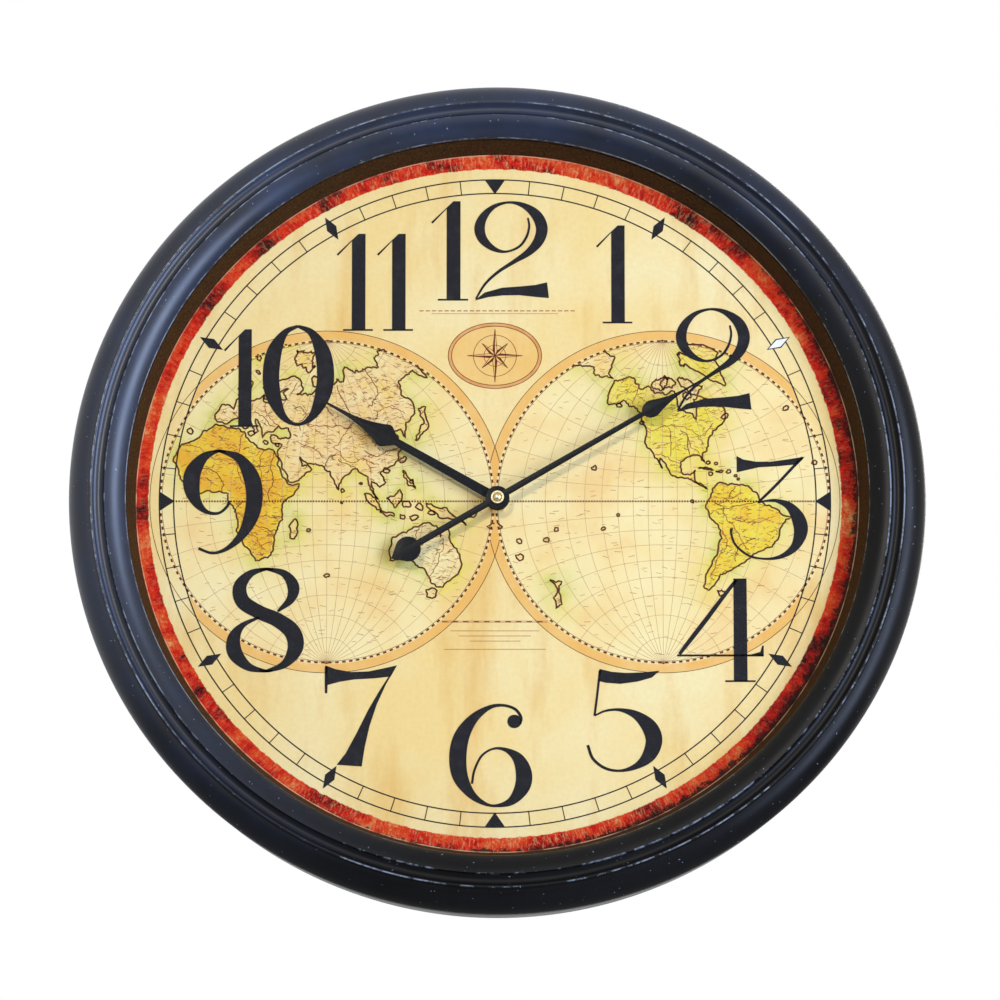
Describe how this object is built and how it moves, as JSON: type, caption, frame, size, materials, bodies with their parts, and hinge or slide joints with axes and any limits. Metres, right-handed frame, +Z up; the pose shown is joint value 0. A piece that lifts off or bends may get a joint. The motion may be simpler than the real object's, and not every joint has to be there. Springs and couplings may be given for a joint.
{
  "type": "wall clock",
  "caption": "Round wall clock with a turned frame, flat glass, a printed world-chart dial, spade hands, and a quartz movement with a cell and a setting knob behind.",
  "frame": {"origin": "where the shaft's axis meets the wall plane, which is the frame's flat back", "axes": "+Z up the dial towards twelve, -Y out of the dial into the room, +X towards three"},
  "size_m": [0.406, 0.041, 0.406],
  "materials": {
    "frame_paint": "navy-black satin paint, rubbed on the ridges",
    "clear_glass": "clear flat window glass",
    "brown_board": "brown board, matt",
    "fibreboard": "raw fibreboard",
    "printed_paper": "printed paper, aged cream",
    "zinc_steel": "zinc-plated sheet steel",
    "black_moulding": "black moulded plastic",
    "white_moulding": "natural white moulded plastic",
    "brass": "turned brass",
    "black_hands": "stamped aluminium, black paint",
    "cell_jacket": "plain dark jacket on a round cell, no print"
  },
  "bodies": {
    "clock": {"frame_ring": "frame_paint", "glass_pane": "clear_glass", "spacer_ring": "brown_board", "dial_board": "fibreboard", "dial_paper": "printed_paper", "board_tabs": "zinc_steel", "hanger_plate": "zinc_steel", "hanger_screws": "zinc_steel", "movement_case": "black_moulding", "movement_cover": "black_moulding", "hex_nut": "brass", "contact_positive": "zinc_steel", "contact_negative": "zinc_steel"},
    "minute_hand": {"minute_hand": "black_hands", "minute_arbor": "brass", "cap_nut": "brass"},
    "hour_hand": {"hour_hand": "black_hands", "hour_wheel": "white_moulding"},
    "reverse_wheel": {"reverse_wheel": "white_moulding"},
    "setting_knob": {"setting_knob": "white_moulding", "setting_gear": "white_moulding"},
    "battery": {"battery": "cell_jacket"}
  },
  "joints": [
    {"name": "minute_turn", "type": "hinge", "parent": "clock", "child": "minute_hand", "pos_m": [0, 0, 0], "axis": [0, 1, 0], "continuous": true},
    {"name": "hour_turn", "type": "hinge", "parent": "clock", "child": "hour_hand", "pos_m": [0, 0, 0], "axis": [0, 1, 0], "continuous": true},
    {"name": "reverse_turn", "type": "hinge", "parent": "clock", "child": "reverse_wheel", "pos_m": [-0.00693, 0, 0.004], "axis": [0, 1, 0], "continuous": true},
    {"name": "knob_turn", "type": "hinge", "parent": "clock", "child": "setting_knob", "pos_m": [-0.01429, 0, 0.00825], "axis": [0, 1, 0], "continuous": true},
    {"name": "battery_slide", "type": "slide", "parent": "clock", "child": "battery", "axis": [0, 1, 0], "range_m": [0, 0.02]}
  ],
  "couplings": [
    {"joint": "hour_turn", "follows": "minute_turn", "ratio": 0.083333},
    {"joint": "reverse_turn", "follows": "minute_turn", "ratio": -0.33333},
    {"joint": "knob_turn", "follows": "minute_turn", "ratio": 0.8}
  ]
}
